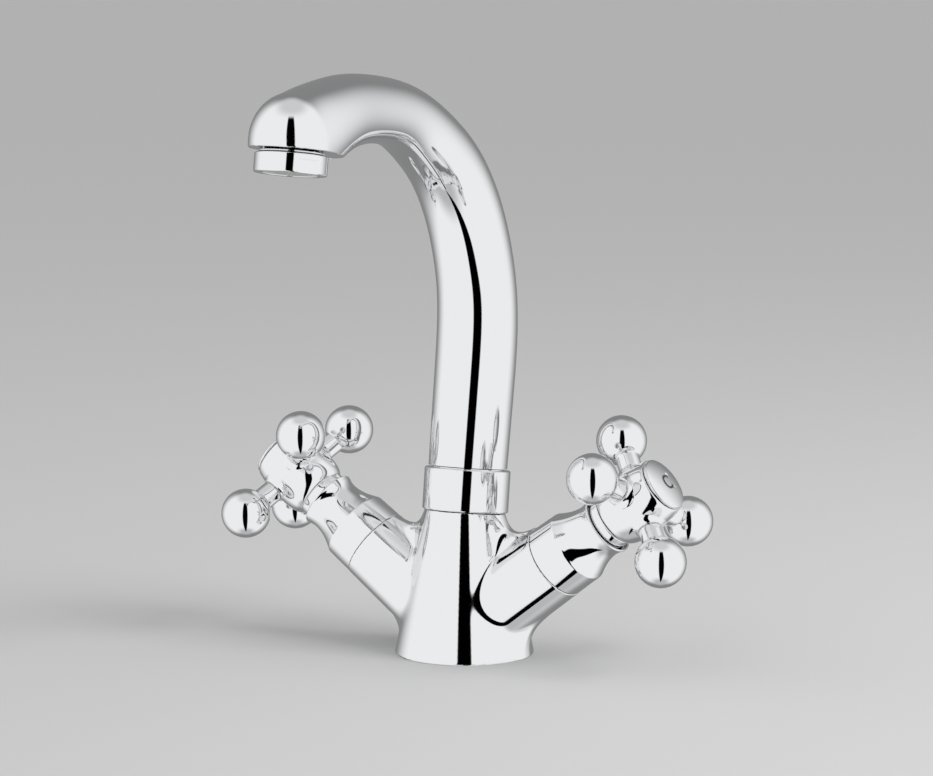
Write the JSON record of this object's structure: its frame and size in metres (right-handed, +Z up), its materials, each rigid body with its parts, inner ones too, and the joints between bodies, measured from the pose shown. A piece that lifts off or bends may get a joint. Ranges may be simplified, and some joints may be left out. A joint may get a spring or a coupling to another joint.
{
  "type": "bathroom mixer faucet",
  "caption": "Basin mixer with a conical body, raised arms carrying ball-ended cross handles for hot and cold, and a tall goose-neck spout that swivels above a screw-on aerator.",
  "frame": {"origin": "centre of the body's flat underside, where it stands on the basin", "axes": "+Z up from the basin; the spout points to -Y, towards the user; the cold handle is on +X and the hot handle on -X"},
  "size_m": [0.184, 0.1617, 0.2098],
  "materials": {
    "chrome": "polished chrome plate",
    "brass": "machined",
    "steel": "plain stainless",
    "ceramic": "lapped",
    "plastic": "moulded",
    "rubber": "moulded"
  },
  "bodies": {
    "root": {"body": "chrome", "base_gasket": "rubber", "spout_collar": "chrome", "slip_washer": "plastic", "hot_shroud": "chrome", "hot_cartridge_housing": "brass", "hot_fixed_disc": "ceramic", "hot_seat_seal": "rubber", "hot_cartridge_o_ring": "rubber", "cold_shroud": "chrome", "cold_cartridge_housing": "brass", "cold_fixed_disc": "ceramic", "cold_seat_seal": "rubber", "cold_cartridge_o_ring": "rubber"},
    "spout": {"spout": "chrome", "spout_o_ring_1": "rubber", "spout_o_ring_2": "rubber", "spout_snap_ring": "steel", "aerator_housing": "chrome", "aerator_washer": "rubber", "aerator_insert": "plastic", "aerator_screen": "steel", "flow_straightener": "plastic"},
    "hot_handle": {"hot_handle_hub": "chrome", "hot_index_cap": "chrome", "hot_handle_screw": "steel", "hot_spline_adapter": "plastic", "hot_spindle": "brass", "hot_spindle_o_ring": "rubber", "hot_circlip": "steel", "hot_moving_disc": "ceramic", "hot_spoke_1": "chrome", "hot_spoke_2": "chrome", "hot_spoke_3": "chrome", "hot_spoke_4": "chrome"},
    "cold_handle": {"cold_handle_hub": "chrome", "cold_index_cap": "chrome", "cold_handle_screw": "steel", "cold_spline_adapter": "plastic", "cold_spindle": "brass", "cold_spindle_o_ring": "rubber", "cold_circlip": "steel", "cold_moving_disc": "ceramic", "cold_spoke_1": "chrome", "cold_spoke_2": "chrome", "cold_spoke_3": "chrome", "cold_spoke_4": "chrome"}
  },
  "joints": [
    {"name": "spout_swivel", "type": "hinge", "parent": "root", "child": "spout", "pos_m": [0, 0.0005, 0.0512], "axis": [0, 0.1305, 0.9914], "continuous": true},
    {"name": "hot_handle_turn", "type": "hinge", "parent": "root", "child": "hot_handle", "pos_m": [-0.07026, 0, 0.0608], "axis": [-0.8044, 0, 0.5941], "range_deg": [0, 180]},
    {"name": "cold_handle_turn", "type": "hinge", "parent": "root", "child": "cold_handle", "pos_m": [0.07026, 0, 0.0608], "axis": [0.8044, 0, 0.5941], "range_deg": [0, 180]}
  ]
}
